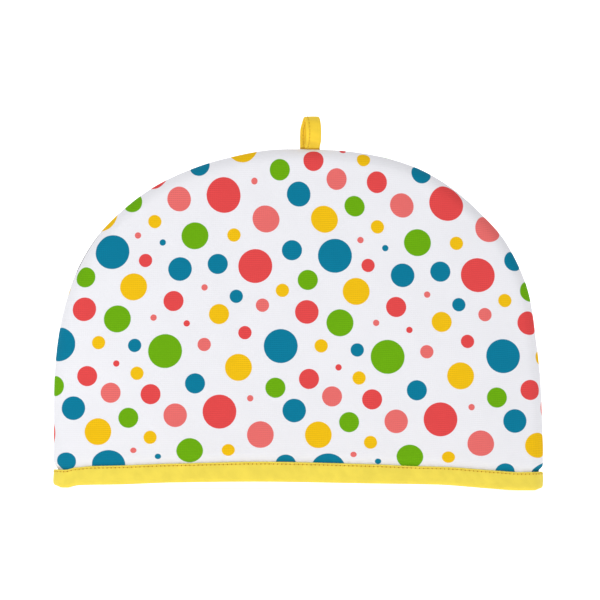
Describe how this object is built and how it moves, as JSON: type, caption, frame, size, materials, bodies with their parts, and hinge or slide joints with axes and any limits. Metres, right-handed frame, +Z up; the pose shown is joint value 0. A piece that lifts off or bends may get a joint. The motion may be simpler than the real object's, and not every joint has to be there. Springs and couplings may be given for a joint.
{
  "type": "tea cosy",
  "caption": "Padded dome-shaped tea cosy in polka-dot cotton, with a yellow binding folded over its hem and a small yellow hanging loop in the top seam.",
  "frame": {"origin": "middle of the cosy's outline on the surface it stands on", "axes": "+X to the right along the hem as seen from the front, -Y out of the front wall, +Z up to the loop"},
  "size_m": [0.3524, 0.0604, 0.2682],
  "materials": {
    "printed_cotton": "white cotton canvas printed with dots in red, pink, blue, green and yellow",
    "yellow_cotton": "plain woven yellow cotton, folded and edge-stitched"
  },
  "bodies": {
    "root": {"front_panel": "printed_cotton", "back_panel": "printed_cotton", "hem_binding": "yellow_cotton", "hanging_loop": "yellow_cotton"}
  },
  "joints": []
}
